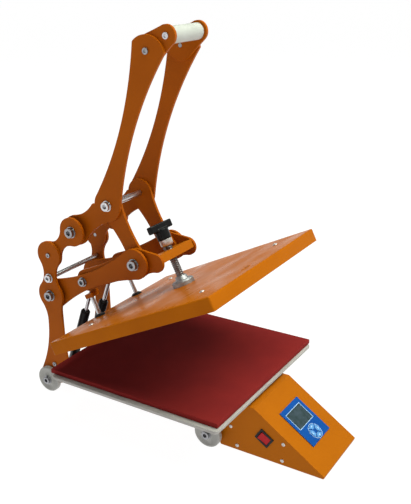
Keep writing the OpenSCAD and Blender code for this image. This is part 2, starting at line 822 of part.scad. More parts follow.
// Pressure screw with its collar and wing knob
module pressure_screw() {
    color([0.45, 0.45, 0.47]) swung() translate([0, bed_mid, cover_top + 5.4])
        cylinder(h = knob_z + 8 - cover_top - 5.4, r = screw_r);
}
module lock_collar() {
    color([0.6, 0.6, 0.62]) swung() translate([0, bed_mid, collar_z]) rotate_extrude() polygon([
        [screw_r, 0], [screw_r + 3, 0], [screw_r + 5, 3], [screw_r + 5, knob_z - collar_z],
        [screw_r, knob_z - collar_z]
    ]);
}
module wing_knob() {
    hub_h = 22;
    hub_r = 14;
    bar_w = 14;
    bar_h = 15;
    wing_turn = -10;
    color(black) swung() translate([0, bed_mid, knob_z]) difference() {
        union() {
            cylinder(h = hub_h, r = hub_r);
            rotate([0, 0, wing_turn]) translate([0, 0, hub_h - 3]) linear_extrude(bar_h) {
                square([wing_l - bar_w, bar_w], center = true);
                for (s = [-1, 1]) translate([s * (wing_l - bar_w) / 2, 0]) circle(bar_w / 2);
            }
        }
        translate([0, 0, -1]) cylinder(h = 9, r = screw_r);
    }
}

// Gas springs: a cylinder on the base and a rod that hangs from the arm
module along_gas() {
    at(p_gas_foot) rotate([gas_lean, 0, 0]) children();
}
module gas_cylinder(x) {
    neck = gas_body_l + 12;
    eye_r = 9;
    eye_half = 6;
    wall = 2;
    chamber = 30;
    gland = 14;
    translate([x, 0, 0]) along_gas() difference() {
        union() {
            rod(-eye_half, eye_half, eye_r);
            rotate_extrude() polygon([
                [0, 5], [6, 5], [6, 12], [gas_r - wall, 12], [gas_r, 15], [gas_r, neck - 3],
                [gas_r - wall, neck], [rod_r + run_gap, neck], [rod_r + run_gap, neck - gland],
                [gas_r - wall, neck - gland],
                [gas_r - wall, chamber], [0, chamber]
            ]);
        }
        rod(-eye_half - 1, eye_half + 1, gas_foot_r + run_gap);
    }
}
module left_gas_cylinder() {
    color(black) gas_cylinder(-gas_x);
}
module right_gas_cylinder() {
    color(black) gas_cylinder(gas_x);
}
module gas_rod(x) {
    eye_gap = 2.2;
    eye_half = 5;
    eye_r = gas_pin_r + eye_gap + 4;
    piston_z = gas_body_l - 22;
    piston_r = gas_r - 2 - run_gap;
    translate([x, 0, 0]) along_gas() difference() {
        union() {
            translate([0, 0, gas_open]) rod(-eye_half, eye_half, eye_r);
            rotate_extrude() polygon([
                [0, piston_z], [piston_r, piston_z], [piston_r, piston_z + 8], [rod_r, piston_z + 8],
                [rod_r, gas_open - gas_pin_r - eye_gap - 2], [0, gas_open - gas_pin_r - eye_gap - 2]
            ]);
        }
        translate([0, 0, gas_open]) rod(-eye_half - 1, eye_half + 1, gas_pin_r + eye_gap);
    }
}
module left_gas_rod() {
    color(chrome) gas_rod(-gas_x);
}
module right_gas_rod() {
    color(chrome) gas_rod(gas_x);
}

// Control box: a wedge of bent sheet on a tray, under the front of the bed
function box_points() = [
    [toe_y, box_floor], [box_back, box_floor], [box_back, box_top], [ridge_y, box_top],
    [toe_y, box_floor + toe_lip]
];
module box_prism(half, t) {
    plate(-half, 2 * half) polygon(rounded(inset(box_points(), t), box_bend_r - t));
}
module on_slope(u, v, w = 0) {
    translate([panel_x + u, ridge_y, box_top]) rotate([slope_a, 0, 0])
        translate([0, v - panel_mid, w]) children();
}
module on_side() {
    translate([-box_w / 2, rocker_at[0], rocker_at[1]]) rotate([0, 0, -90]) rotate([90, 0, 0])
        rotate([0, 0, -slope_a]) children();
}
module control_box() {
    color(paint) difference() {
        box_prism(box_w / 2, 0);
        box_prism(box_w / 2 - box_t, box_t);
        translate([-box_w / 2 + floor_lip, toe_y + floor_lip, box_floor - 1])
            cube([box_w - 2 * floor_lip, box_back - toe_y - 2 * floor_lip, box_t + 2]);
        on_slope(0, 0, -6) linear_extrude(8) square([panel_w - 6, panel_l - 6], center = true);
        on_side() translate([0, 0, -6]) linear_extrude(12) square([rocker_l - 3, rocker_w - 3], center = true);
        both() for (s = screw_spots) at([bed_front + s[0], s[1]])
            rod(box_w / 2 - 4, box_w / 2 + 4, box_screw_r + bolt_gap);
        at([box_back, gland_z]) translate([gland_x, -3, 0]) rotate([-90, 0, 0]) cylinder(h = 6, r = 8);
    }
}
module box_base() {
    side_h = 56;
    y0 = toe_y + 6;
    half = box_w / 2 - box_t;
    color([0.5, 0.5, 0.52]) difference() {
        intersection() {
            box_prism(half, box_t);
            translate([-half, y0, box_floor]) cube([2 * half, box_back - y0, side_h]);
        }
        translate([-half + box_t, y0 - 1, box_floor + 2 * box_t])
            cube([2 * half - 2 * box_t, box_back - y0 + 2, side_h]);
        both() for (s = screw_spots) at([bed_front + s[0], s[1]])
            rod(half - 4, half + 4, box_screw_r + bolt_gap);
        on_side() translate([0, 0, -8]) linear_extrude(12) square([rocker_l, rocker_w], center = true);
    }
}
module box_screws() {
    color(chrome) both() for (s = screw_spots) at([bed_front + s[0], s[1]]) {
        rod(box_w / 2 - 4, box_w / 2, box_screw_r);
        small_head(box_w / 2, 3.6, 2);
    }
}
// Key shapes: quarters of a ring, the same outline grown for the holes
module key_shape(grow) {
    inner_r = 5;
    intersection() {
        difference() {
            circle(key_ring_r + grow);
            circle(inner_r - grow);
        }
        translate([1.6 - 1.4 * grow, 0]) polygon([[0, 0], [20, 20], [20, -20]]);
    }
}
module panel_bezel() {
    face_t = 2;
    lip = 3;
    color([0.03, 0.28, 0.65]) on_slope(0, 0) difference() {
        union() {
            linear_extrude(face_t) square([panel_w, panel_l], center = true);
            translate([0, 0, -lip]) linear_extrude(lip) square([panel_w - 7, panel_l - 7], center = true);
        }
        translate([0, 12, -lip - 1]) linear_extrude(lip + face_t + 2) square([lcd_w, lcd_l], center = true);
        for (a = [0 : 90 : 270]) translate([0, key_y, -lip - 1]) rotate([0, 0, a])
            linear_extrude(lip + face_t + 2) key_shape(0.3);
    }
}
module display_window() {
    color([0.2, 0.24, 0.26]) on_slope(0, 12, -3) linear_extrude(4.4)
        square([lcd_w, lcd_l], center = true);
}
module controller_board() {
    color([0.1, 0.35, 0.16]) on_slope(0, 0, -pcb_drop) {
        linear_extrude(1.6) square([panel_w - 10, panel_l - 10], center = true);
        for (x = [-1, 1], y = [-1, 1])
            translate([x * (panel_w - 15) / 2, y * (panel_l - 13) / 2, 0]) cylinder(h = pcb_drop - 3, r = 2.2);
    }
}
module key(a) {
    color([0.45, 0.72, 0.95]) on_slope(0, key_y, -4) rotate([0, 0, a]) linear_extrude(7) key_shape(0);
}
module key_right() {
    key(0);
}
module key_up() {
    key(90);
}
module key_left() {
    key(180);
}
module key_down() {
    key(270);
}
// Rocker switch on the left side, set square to the slope
module rocker_bezel() {
    color(black) on_side() difference() {
        union() {
            linear_extrude(2) square([rocker_l, rocker_w], center = true);
            translate([0, 0, -20]) linear_extrude(20) square([rocker_l - 4, rocker_w - 4], center = true);
        }
        translate([0, 0, -12]) linear_extrude(20) square([rocker_l - 8, rocker_w - 8], center = true);
        rocker_pin(run_gap);
    }
}
module rocker_pin(grow) {
    rotate([90, 0, 0]) cylinder(h = rocker_w - 5 + 2 * grow, r = 1.2 + grow, center = true);
}
module rocker() {
    half_l = rocker_l / 2 - 4.6;
    half_w = rocker_w / 2 - 4.4;
    tilt = 7;
    dish_r = 64;
    color([0.6, 0.07, 0.1]) on_side() rotate([0, tilt, 0]) {
        rocker_pin(0);
        rotate([90, 0, 0]) linear_extrude(2 * half_w, center = true) difference() {
            polygon([[-half_l, 3], [half_l, 3], [half_l - 1, -3], [3, -10], [-3, -10], [-half_l + 1, -3]]);
            translate([0, dish_r + 2]) circle(dish_r, $fn = arc_fn);
        }
    }
}
module cord_gland() {
    color(black) translate([gland_x, box_back, gland_z]) rotate([-90, 0, 0]) rotate_extrude() polygon([
        [4, -6], [7.9, -6], [7.9, 0], [11, 0], [11, 5], [8, 16], [4, 16]
    ]);
}

side_rails();
cross_members();
left_upright();
right_upright();
head_plates();
tie_rod();
frame_bolts();
bed_board();
silicone_pad();
control_box();
box_base();
box_screws();
panel_bezel();
display_window();
controller_board();
rocker_bezel();
cord_gland();
arm_shaft();
handle_pivots();
gas_bracket();
wheel_bolts();
left_handle();
right_handle();
grip_brackets();
grip_rod();
handle_screws();
toggle_shaft();
grip_sleeve();
left_toggle_link();
right_toggle_link();
toggle_nuts();
left_arm();
right_arm();
nose_plates();
cross_block();
gas_pin();
arm_bolts();
guide_posts();
heater_cover();
heating_plate();
insulation_mat();
screw_flange();
guide_bushes();
cover_screws();
pressure_screw();
wing_knob();
lock_collar();
left_gas_cylinder();
right_gas_cylinder();
left_gas_rod();
right_gas_rod();
front_left_wheel();
front_right_wheel();
rear_left_wheel();
rear_right_wheel();
rocker();
key_up();
key_down();
key_left();
key_right();
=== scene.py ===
import json
import math

import bmesh
import bpy
from mathutils import Matrix, Vector


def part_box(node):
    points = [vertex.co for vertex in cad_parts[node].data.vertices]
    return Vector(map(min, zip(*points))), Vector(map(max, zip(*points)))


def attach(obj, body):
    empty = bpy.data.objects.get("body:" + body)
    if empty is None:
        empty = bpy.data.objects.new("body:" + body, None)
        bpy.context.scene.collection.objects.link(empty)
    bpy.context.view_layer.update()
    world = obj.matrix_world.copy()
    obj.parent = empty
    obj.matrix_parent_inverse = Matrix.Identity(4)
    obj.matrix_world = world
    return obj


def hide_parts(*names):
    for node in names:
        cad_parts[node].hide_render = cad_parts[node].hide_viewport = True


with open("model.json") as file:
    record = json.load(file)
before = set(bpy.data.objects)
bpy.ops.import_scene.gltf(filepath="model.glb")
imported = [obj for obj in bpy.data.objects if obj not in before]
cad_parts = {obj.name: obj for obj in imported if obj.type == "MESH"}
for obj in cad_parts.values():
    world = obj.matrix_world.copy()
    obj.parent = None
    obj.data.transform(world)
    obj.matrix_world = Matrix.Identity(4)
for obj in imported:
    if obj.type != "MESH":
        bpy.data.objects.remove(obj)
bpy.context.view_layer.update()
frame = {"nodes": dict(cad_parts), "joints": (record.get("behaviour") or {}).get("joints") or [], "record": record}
nodes = frame["nodes"]

# Base frame. Two side rails cut from 6 mm steel plate and enamelled orange stand on the
# wheels, with black folded channels welded between them. Two more channels carry the bed,
# and a forked bracket on the rear channel holds the feet of the gas springs.
body_of = {n: b for b, names in frame["record"]["behaviour"]["bodies"].items() for n in names}


def finish(name, tones, patch, grain, gloss, relief, shader=None, stretch=(1, 1, 1)):
    """A surface with two tones in soft patches and a fine grain that moves its gloss.
    Patch and grain are sizes in metres, gloss is a range of roughness, relief a height."""
    patch_span, patch_detail = (0.35, 0.65), 4
    grain_span, grain_detail = (0.3, 0.7), 2
    material = bpy.data.materials.new(name)
    material.use_nodes = True
    tree = material.node_tree
    surface = tree.nodes["Principled BSDF"]
    place = tree.nodes.new("ShaderNodeTexCoord")
    lay = tree.nodes.new("ShaderNodeMapping")
    lay.inputs["Scale"].default_value = stretch
    tree.links.new(place.outputs["Object"], lay.inputs["Vector"])

    def noise(size, detail):
        field = tree.nodes.new("ShaderNodeTexNoise")
        field.inputs["Scale"].default_value = 1 / size
        field.inputs["Detail"].default_value = detail
        tree.links.new(lay.outputs["Vector"], field.inputs["Vector"])
        return field.outputs["Fac"]

    colour = tree.nodes.new("ShaderNodeValToRGB")
    for stop, at, tone in zip(colour.color_ramp.elements, patch_span, tones):
        stop.position = at
        stop.color = (*tone, 1)
    tree.links.new(noise(patch, patch_detail), colour.inputs["Fac"])
    tree.links.new(colour.outputs["Color"], surface.inputs["Base Color"])

    fine = noise(grain, grain_detail)
    sheen = tree.nodes.new("ShaderNodeMapRange")
    limits = ("From Min", "From Max", "To Min", "To Max")
    for limit, value in zip(limits, (*grain_span, *gloss)):
        sheen.inputs[limit].default_value = value
    tree.links.new(fine, sheen.inputs["Value"])
    tree.links.new(sheen.outputs["Result"], surface.inputs["Roughness"])

    bump = tree.nodes.new("ShaderNodeBump")
    bump.inputs["Strength"].default_value = 1
    bump.inputs["Distance"].default_value = relief
    tree.links.new(fine, bump.inputs["Height"])
    tree.links.new(bump.outputs["Normal"], surface.inputs["Normal"])
    for socket, value in (shader or {}).items():
        surface.inputs[socket].default_value = value
    return material


def add(name, mesh, material):
    """A piece made of a mesh that is already in its place."""
    mesh.materials.append(material)
    piece = bpy.data.objects.new(name, mesh)
    bpy.context.scene.collection.objects.link(piece)
    return piece


def ease(piece, edge, steps):
    """Breaks a piece's sharp edges and smooths what lies between them."""
    sharp_angle = math.radians(40)
    piece.data.shade_smooth()
    bevel = piece.modifiers.new("broken_edges", "BEVEL")
    bevel.width = edge
    bevel.segments = steps
    bevel.limit_method = "ANGLE"
    bevel.angle_limit = sharp_angle
    bevel.use_clamp_overlap = False
    bevel.harden_normals = True


def joined(node):
    """The faces of a node with their corners joined."""
    same_place = 1e-6
    shape = bmesh.new()
    shape.from_mesh(nodes[node].data)
    bmesh.ops.remove_doubles(shape, verts=shape.verts, dist=same_place)
    return shape


def dress(node, material, edge=0.0005, steps=2):
    """A solid's own shape in its finish, with its edges broken as they leave the shop."""
    flat_angle = math.radians(0.5)
    shape = joined(node)
    bmesh.ops.dissolve_limit(
        shape, angle_limit=flat_angle, verts=shape.verts, edges=shape.edges
    )
    shape.verts.index_update()
    mesh = bpy.data.meshes.new(node + "_shape")
    mesh.from_pydata(
        [v.co for v in shape.verts], [], [[v.index for v in f.verts] for f in shape.faces]
    )
    shape.free()
    piece = add(node + "_finished", mesh, material)
    ease(piece, edge, steps)
    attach(piece, body_of[node])
    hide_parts(node)
    return piece


# The plates' enamel is a darker copy of the enamel on the box and cover. Its darker tones are painted shade on the
# plates.
orange_enamel_painted_shade = finish(
    "orange_enamel_painted_shade",
    tones=((0.41, 0.093, 0.002), (0.37, 0.082, 0.002)),
    patch=0.12,
    grain=0.0025,
    gloss=(0.34, 0.44),
    relief=0.00002,
    shader={"Specular IOR Level": 0.05},
)
black_enamel = finish(
    "black_enamel",
    tones=((0.022, 0.022, 0.024), (0.015, 0.015, 0.016)),
    patch=0.06,
    grain=0.0015,
    gloss=(0.4, 0.55),
    relief=0.00003,
)
dress("side_rails", orange_enamel_painted_shade)
dress("cross_members", black_enamel)
dress("gas_bracket", black_enamel)

# Uprights and head plates. They are cut from the same plate with rounded lobes at every
# pivot, and held together by a plated tie rod, the main shaft and round-headed screws.
bright_chrome = finish(
    "bright_chrome",
    tones=((0.68, 0.68, 0.70), (0.58, 0.58, 0.60)),
    patch=0.02,
    grain=0.0008,
    gloss=(0.24, 0.36),
    relief=0.000002,
    shader={"Metallic": 1},
)
zinc_plate = finish(
    "zinc_plate",
    tones=((0.80, 0.78, 0.76), (0.66, 0.65, 0.64)),
    patch=0.006,
    grain=0.0006,
    gloss=(0.38, 0.55),
    relief=0.000006,
    shader={"Metallic": 1},
)
bolt_steel = finish(
    "bolt_steel",
    tones=((0.36, 0.36, 0.375), (0.27, 0.27, 0.285)),
    patch=0.006,
    grain=0.0006,
    gloss=(0.2, 0.34),
    relief=0.000004,
    shader={"Metallic": 1},
)
for node in ("left_upright", "right_upright", "head_plates"):
    dress(node, orange_enamel_painted_shade)
for node in ("arm_shaft", "handle_pivots", "frame_bolts"):
    dress(node, bolt_steel, edge=0.0004)
dress("tie_rod", bright_chrome, edge=0.0004)

# Wheels. Four discs moulded in grey plastic turn on shouldered bolts with socket heads,
# screwed through the lower corners of the side rails.
grey_moulding = finish(
    "grey_moulding",
    tones=((0.40, 0.395, 0.37), (0.345, 0.34, 0.315)),
    patch=0.03,
    grain=0.0009,
    gloss=(0.42, 0.58),
    relief=0.00002,
)
for row in ("front", "rear"):
    for side in ("left", "right"):
        dress(row + "_" + side + "_wheel", grey_moulding)
dress("wheel_bolts", bolt_steel, edge=0.0004)

# Bed. A pale pressed board lies on the bearers, and a pad of dark red silicone foam lies
# loose on the board, a little to the right and the rear, with its rim pressed thinner.
pale_board = finish(
    "pale_board",
    tones=((0.47, 0.44, 0.41), (0.39, 0.37, 0.345)),
    patch=0.012,
    grain=0.0012,
    gloss=(0.6, 0.8),
    relief=0.00004,
    stretch=(0.35, 0.35, 3),
)
red_silicone = finish(
    "red_silicone",
    tones=((0.24, 0.017, 0.015), (0.215, 0.015, 0.014)),
    patch=0.05,
    grain=0.0007,
    gloss=(0.75, 0.9),
    relief=0.00005,
    shader={"Specular IOR Level": 0.1},
)
dress("bed_board", pale_board, edge=0.0008)

pad_cells = 24
rim_sink, rim_power = 0.0006, 14
pad_low, pad_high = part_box("silicone_pad")
pad_size = pad_high - pad_low
pad_form = bmesh.new()
bmesh.ops.create_cube(pad_form, size=1)
bmesh.ops.subdivide_edges(
    pad_form,
    edges=[e for e in pad_form.edges if abs(e.verts[0].co.z - e.verts[1].co.z) < 0.5],
    cuts=pad_cells - 1,
    use_grid_fill=True,
)
for vert in pad_form.verts:
    reach = max(abs(vert.co.x), abs(vert.co.y)) * 2
    sink = rim_sink * reach**rim_power if vert.co.z > 0 else 0
    vert.co = pad_low + Vector((c + 0.5) * s for c, s in zip(vert.co, pad_size))
    vert.co.z -= sink
pad_mesh = bpy.data.meshes.new("pad_shape")
pad_form.to_mesh(pad_mesh)
pad_form.free()
pad = add("press_pad", pad_mesh, red_silicone)
ease(pad, edge=0.0012, steps=3)
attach(pad, "base")
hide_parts("silicone_pad")

# Control box. A wedge of bent sheet closes over a bare tray and is held by four
# cross-recess screws on each side. A nylon gland lets the lead in at the back, and the
# board of the controller lies inside. The sheet's enamel is a lighter copy of the
# plates' orange; the lighter tone is painted light on the box.
bare_tray = finish(
    "bare_tray",
    tones=((0.46, 0.46, 0.48), (0.38, 0.38, 0.40)),
    patch=0.02,
    grain=0.001,
    gloss=(0.35, 0.5),
    relief=0.00001,
    shader={"Metallic": 1},
    stretch=(0.2, 1, 1),
)
black_nylon = finish(
    "black_nylon",
    tones=((0.016, 0.016, 0.017), (0.011, 0.011, 0.012)),
    patch=0.01,
    grain=0.0006,
    gloss=(0.38, 0.55),
    relief=0.00002,
    shader={"Specular IOR Level": 0.2},
)
green_board = finish(
    "green_board",
    tones=((0.02, 0.13, 0.045), (0.015, 0.10, 0.035)),
    patch=0.008,
    grain=0.001,
    gloss=(0.3, 0.45),
    relief=0.00003,
)
# A lighter copy of the plates' enamel for the box and the cross block. Its lighter tones are painted light.
folded_enamel_painted_light = finish(
    "folded_enamel_painted_light",
    tones=((0.455, 0.126, 0.003), (0.415, 0.112, 0.003)),
    patch=0.12,
    grain=0.0025,
    gloss=(0.32, 0.42),
    relief=0.00002,
    shader={"Specular IOR Level": 0.05},
)
dress("control_box", folded_enamel_painted_light, edge=0.0005, steps=3)
dress("box_base", bare_tray, edge=0.0002)
dress("cord_gland", black_nylon, edge=0.0005)
dress("controller_board", green_board, edge=0.0001)


def loose_parts(node):
    """Corner points of each separate solid in a node."""
    shape = joined(node)
    left = set(shape.verts)
    parts = []
    while left:
        part, edge = [], [left.pop()]
        while edge:
            vert = edge.pop()
            part.append(vert.co.copy())
            near = {e.other_vert(vert) for e in vert.link_edges} & left
            left -= near
            edge += near
        parts.append(part)
    shape.free()
    return parts


def new_tree(name, inputs):
    """An empty node tree with its inputs, and a function that puts a linked node in it."""
    tree = bpy.data.node_groups.new(name, "GeometryNodeTree")
    for kind, labels in inputs.items():
        for label in labels:
            tree.interface.new_socket(label, in_out="INPUT", socket_type="NodeSocket" + kind)
    tree.interface.new_socket("Geometry", in_out="OUTPUT", socket_type="NodeSocketGeometry")

    def put(kind, links=(), values=(), **settings):
        made = tree.nodes.new(kind)
        for key, value in settings.items():
            setattr(made, key, value)
        for socket, value in values:
            made.inputs[socket].default_value = value
        for source, socket in links:
            tree.links.new(source, made.inputs[socket])
        return made

    return tree, put


def cross_heads():
    """Node tree that sets a domed cross-recess screw head on every point of a mesh."""
    slot_share = 1.1
    dome_segments, dome_rings = 20, 10
    tree, put = new_tree(
        "cross_heads",
        {
            "Geometry": ("Geometry",),
            "Float": ("Head Radius", "Head Height", "Slot Width"),
            "Material": ("Finish",),
        },
    )
    sizes = put("NodeGroupInput").outputs
    ball = put(
        "GeometryNodeMeshUVSphere",
        [(sizes["Head Radius"], "Radius")],
        [("Segments", dome_segments), ("Rings", dome_rings)],
    )
    flat = put(
        "ShaderNodeMath",
        [(sizes["Head Height"], 0), (sizes["Head Radius"], 1)],
        operation="DIVIDE",
    )
    squash = put("ShaderNodeCombineXYZ", [(flat.outputs[0], "Z")], [("X", 1), ("Y", 1)])
    dome = put(
        "GeometryNodeTransform",
        [(ball.outputs["Mesh"], "Geometry"), (squash.outputs[0], "Scale")],
    )
    long = put(
        "ShaderNodeMath", [(sizes["Head Radius"], 0)], [(1, slot_share)], operation="MULTIPLY"
    )
    bars = []
    for first, second in (("X", "Y"), ("Y", "X")):
        span = put(
            "ShaderNodeCombineXYZ",
            [(long.outputs[0], first), (sizes["Slot Width"], second), (sizes["Head Height"], "Z")],
        )
        cube = put("GeometryNodeMeshCube", [(span.outputs[0], "Size")])
        lift = put("ShaderNodeCombineXYZ", [(sizes["Head Height"], "Z")])
        bars.append(
            put(
                "GeometryNodeTransform",
                [(cube.outputs["Mesh"], "Geometry"), (lift.outputs[0], "Translation")],
            )
        )
    head = put(
        "GeometryNodeMeshBoolean",
        [(dome.outputs[0], "Mesh 1")] + [(bar.outputs[0], "Mesh 2") for bar in bars],
        operation="DIFFERENCE",
        solver="EXACT",
    )
    facing = put(
        "GeometryNodeInputNamedAttribute", values=[("Name", "facing")], data_type="FLOAT_VECTOR"
    )
    turn = put(
        "FunctionNodeAlignRotationToVector", [(facing.outputs["Attribute"], "Vector")], axis="Z"
    )
    heads = put(
        "GeometryNodeInstanceOnPoints",
        [
            (sizes["Geometry"], "Points"),
            (head.outputs["Mesh"], "Instance"),
            (turn.outputs["Rotation"], "Rotation"),
        ],
    )
    real = put("GeometryNodeRealizeInstances", [(heads.outputs[0], "Geometry")])
    coat = put(
        "GeometryNodeSetMaterial",
        [(real.outputs[0], "Geometry"), (sizes["Finish"], "Material")],
    )
    put("NodeGroupOutput", [(coat.outputs[0], "Geometry")])
    return tree


def grow(name, mesh, tree, inputs):
    """Runs a node tree on a mesh and keeps what it makes as a plain piece."""
    piece = bpy.data.objects.new(name, mesh)
    bpy.context.scene.collection.objects.link(piece)
    modifier = piece.modifiers.new("grown", "NODES")
    modifier.node_group = tree
    for socket in tree.interface.items_tree:
        if socket.in_out == "INPUT" and socket.name in inputs:
            modifier[socket.identifier] = inputs[socket.name]
    bpy.context.view_layer.update()
    seen = piece.evaluated_get(bpy.context.evaluated_depsgraph_get())
    made = bpy.data.meshes.new_from_object(seen)
    piece.modifiers.clear()
    piece.data = made
    return piece


def set_screws(node, axes, radius, height, slot_width):
    """Screw heads at the outer end of each screw of a node, facing along one of the axes."""
    points, facings = [], []
    for part in loose_parts(node):
        middle = sum(part, Vector()) / len(part)
        axis = max(axes, key=lambda a: a.dot(middle))
        face = max(a.dot(axis) for a in part)
        points.append(middle + axis * (face - height - middle.dot(axis)))
        facings.append(axis)
    mesh = bpy.data.meshes.new(node + "_places")
    mesh.from_pydata(points, [], [])
    marks = mesh.attributes.new("facing", "FLOAT_VECTOR", "POINT")
    marks.data.foreach_set("vector", [c for f in facings for c in f])
    sizes = {"Head Radius": radius, "Head Height": height, "Slot Width": slot_width}
    heads = grow(node + "_heads", mesh, screw_heads, {**sizes, "Finish": zinc_plate})
    heads.data.shade_smooth()
    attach(heads, body_of[node])
    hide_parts(node)


screw_heads = cross_heads()
both_sides = (Vector((1, 0, 0)), Vector((-1, 0, 0)))
set_screws("box_screws", both_sides, radius=0.0038, height=0.002, slot_width=0.0011)

# Control panel. A bezel covered with blue film snaps into the slope. Its display shows
# through a printed mask with a white outline, and four moulded keys stand in a white
# ring, each printed with an arrow.
panel_out = -Vector(next(j for j in frame["joints"] if j["name"] == "key_up_press")["axis"])
panel_up = Vector((0, panel_out.z, -panel_out.y))
panel_right = Vector((1, 0, 0))


def spread(node):
    """Extent of a node along the panel's three directions."""
    points = [v.co for v in nodes[node].data.vertices]
    reaches = [[p.dot(way) for p in points] for way in (panel_right, panel_up, panel_out)]
    return [(min(reach), max(reach)) for reach in reaches]


def print_on(name, shapes, surface, thick, material, body):
    """Flat printed shapes, each a list of [across, up] corners, standing on the panel."""
    mesh = bpy.data.meshes.new(name + "_shape")
    points, faces = [], []
    for shape in shapes:
        first, count = len(points), len(shape)
        for height in (surface, surface + thick):
            points += [panel_right * u + panel_up * v + panel_out * height for u, v in shape]
        faces.append([first + count + i for i in range(count)])
        faces.append([first + i for i in reversed(range(count))])
        for i in range(count):
            j = (i + 1) % count
            faces.append([first + i, first + j, first + count + j, first + count + i])
    mesh.from_pydata(points, [], faces)
    piece = add(name, mesh, material)
    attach(piece, body)
    return piece


def surround(outer, inner):
    """Four bars between two rectangles, each given by its left, right, low and high sides."""
    left, right, low, high = outer
    near_left, near_right, near_low, near_high = inner
    return [
        [(left, low), (right, low), (right, near_low), (left, near_low)],
        [(left, near_high), (right, near_high), (right, high), (left, high)],
        [(left, near_low), (near_left, near_low), (near_left, near_high), (left, near_high)],
        [(near_right, near_low), (right, near_low), (right, near_high), (near_right, near_high)],
    ]


def ring(centre, inner, outer, parts=48):
    """Short flat bars that close into a ring."""
    turns = [2 * math.pi * i / parts for i in range(parts + 1)]
    bars = []
    for start, end in zip(turns, turns[1:]):
        corners = ((inner, start), (outer, start), (outer, end), (inner, end))
        bars.append(
            [(centre[0] + r * math.cos(t), centre[1] + r * math.sin(t)) for r, t in corners]
        )
    return bars


blue_film = finish(
    "blue_film",
    tones=((0.008, 0.085, 0.36), (0.006, 0.070, 0.31)),
    patch=0.03,
    grain=0.0008,
    gloss=(0.18, 0.3),
    relief=0.000008,
    shader={"Specular IOR Level": 0.2},
)
display_glass = finish(
    "display_glass",
    tones=((0.055, 0.080, 0.098), (0.030, 0.050, 0.052)),
    patch=0.012,
    grain=0.001,
    gloss=(0.08, 0.16),
    relief=0.000004,
    shader={"Specular IOR Level": 0.3},
)
key_blue = finish(
    "key_blue",
    tones=((0.12, 0.34, 0.70), (0.09, 0.29, 0.62)),
    patch=0.01,
    grain=0.0006,
    gloss=(0.25, 0.4),
    relief=0.00001,
)
white_print = finish(
    "white_print",
    tones=((0.42, 0.62, 0.86), (0.36, 0.55, 0.80)),
    patch=0.01,
    grain=0.0006,
    gloss=(0.4, 0.55),
    relief=0.000004,
)
dress("panel_bezel", blue_film, edge=0.0006, steps=3)
dress("display_window", display_glass, edge=0.0002)
ink = 0.00012
panel_face = spread("panel_bezel")[2][1]
glass_across, glass_along, (_, glass_face) = spread("display_window")
glass = (*glass_across, *glass_along)
mask_widths = (0.0016, -0.0030, 0.0042, -0.0016)
display = tuple(side + width for side, width in zip(glass, mask_widths))
line = 0.0011
line_edge = tuple(side + out * line for side, out in zip(display, (-1, 1, -1, 1)))
mask, border = surround(glass, display), surround(line_edge, display)
print_on("display_mask", mask, glass_face, ink, blue_film, "base")
print_on("display_border", border, glass_face + ink, ink, white_print, "base")
key_faces = {}
for way in ("up", "down", "left", "right"):
    dress("key_" + way, key_blue, edge=0.0005, steps=3)
    key_faces[way] = spread("key_" + way)
key_hub = (sum(key_faces["up"][0]) / 2, sum(key_faces["right"][1]) / 2)
key_reach = key_faces["right"][0][1] - key_hub[0]
circle_gap, circle_line = 0.0012, 0.0009
circle = ring(key_hub, key_reach + circle_gap, key_reach + circle_gap + circle_line)
print_on("key_circle", circle, panel_face, ink, white_print, "base")
arrow_at, arrow_half, arrow_long = 0.0092, 0.0034, 0.0036
for way, turn in (("right", 0), ("up", 90), ("left", 180), ("down", 270)):
    c, s = math.cos(math.radians(turn)), math.sin(math.radians(turn))
    corners = [(arrow_at, -arrow_half), (arrow_at + arrow_long, 0), (arrow_at, arrow_half)]
    arrow = [(key_hub[0] + c * u - s * v, key_hub[1] + s * u + c * v) for u, v in corners]
    key, key_face = "key_" + way, key_faces[way][2][1]
    print_on("arrow_" + way, [arrow], key_face, ink, white_print, key)

# Power switch. A rocker moulded in tinted red plastic tilts on pins in a black nylon
# frame, which snaps into a hole in the left side of the box.
rocker_red = finish(
    "rocker_red",
    tones=((0.47, 0.014, 0.019), (0.40, 0.010, 0.014)),
    patch=0.01,
    grain=0.0008,
    gloss=(0.3, 0.42),
    relief=0.000006,
    shader={"Specular IOR Level": 0.12},
)
dress("rocker_bezel", black_nylon, edge=0.0004)
dress("rocker", rocker_red, edge=0.0006, steps=3)

# Handle. Two long hollow-edged blades carry brackets for a cross rod, on which a white
# sleeve turns as the grip. The shaft through their cranks drives the toggle links.
white_grip = finish(
    "white_grip",
    tones=((0.50, 0.507, 0.465), (0.45, 0.457, 0.415)),
    patch=0.03,
    grain=0.0012,
    gloss=(0.45, 0.6),
    relief=0.00003,
)
for node in ("left_handle", "right_handle", "grip_brackets"):
    dress(node, orange_enamel_painted_shade)
dress("grip_sleeve", white_grip, edge=0.001, steps=3)
for node in ("grip_rod", "toggle_shaft"):
    dress(node, bright_chrome, edge=0.0004)
dress("handle_screws", bolt_steel, edge=0.0004)

# Toggle links. Short enamelled plates hang on the shaft of the handle's cranks, with a
# nut on each side, and push the arm down as the handle comes forward.
for node in ("left_toggle_link", "right_toggle_link"):
    dress(node, orange_enamel_painted_shade)
dress("toggle_nuts", bolt_steel, edge=0.0004)

# Arm. Two plates swing on the main shaft with nose plates bolted inside them, and a
# block between the noses takes the pressure screw. Plated posts pressed into enamelled
# angle brackets keep the platen square.
for node in ("left_arm", "right_arm", "nose_plates"):
    dress(node, orange_enamel_painted_shade)
dress("cross_block", folded_enamel_painted_light, edge=0.001, steps=3)
for node in ("gas_pin", "arm_bolts"):
    dress(node, bolt_steel, edge=0.0004)

